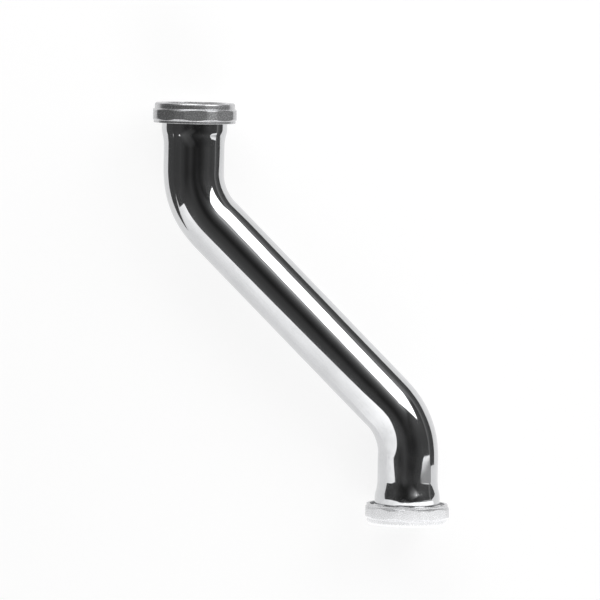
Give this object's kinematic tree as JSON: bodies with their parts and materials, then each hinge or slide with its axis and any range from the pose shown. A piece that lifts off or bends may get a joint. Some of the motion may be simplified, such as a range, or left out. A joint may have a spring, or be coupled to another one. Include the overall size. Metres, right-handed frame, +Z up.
{
  "type": "double offset drain tube",
  "caption": "Chrome-plated drain tube with two opposite bends that shift the run sideways, and a slip joint with an octagonal nut and a washer at each end.",
  "frame": {"origin": "under the middle of the tube, on the surface on which both nuts lie", "axes": "+Z up from that surface; +Y along both ends, towards the inlet; the inlet end is at -X and the outlet end at +X"},
  "size_m": [0.1904, 0.2624, 0.0521],
  "materials": {
    "chrome_tube": "bright chrome plate on brass tube",
    "chrome_nut": "bright chrome plate on a cast nut",
    "washer": "matt black rubber"
  },
  "bodies": {
    "tube": {"drain_tube": "chrome_tube"},
    "inlet_seal": {"inlet_washer": "washer"},
    "inlet_nut": {"inlet_nut": "chrome_nut"},
    "outlet_seal": {"outlet_washer": "washer"},
    "outlet_nut": {"outlet_nut": "chrome_nut"}
  },
  "joints": [
    {"name": "inlet_seal_travel", "type": "slide", "parent": "tube", "child": "inlet_seal", "axis": [0, 1, 0], "range_m": [0, 0.00553]},
    {"name": "inlet_nut_turn", "type": "hinge", "parent": "inlet_seal", "child": "inlet_nut", "pos_m": [-0.06912, 0.13118, 0.02605], "axis": [0, 1, 0], "range_deg": [0, 900]},
    {"name": "outlet_seal_travel", "type": "slide", "parent": "tube", "child": "outlet_seal", "axis": [0, -1, 0], "range_m": [0, 0.00553]},
    {"name": "outlet_nut_turn", "type": "hinge", "parent": "outlet_seal", "child": "outlet_nut", "pos_m": [0.06912, -0.13118, 0.02605], "axis": [0, -1, 0], "range_deg": [0, 900]}
  ],
  "couplings": [
    {"joint": "inlet_seal_travel", "follows": "inlet_nut_turn", "m_per_rad": 0.00035152},
    {"joint": "outlet_seal_travel", "follows": "outlet_nut_turn", "m_per_rad": 0.00035152}
  ]
}
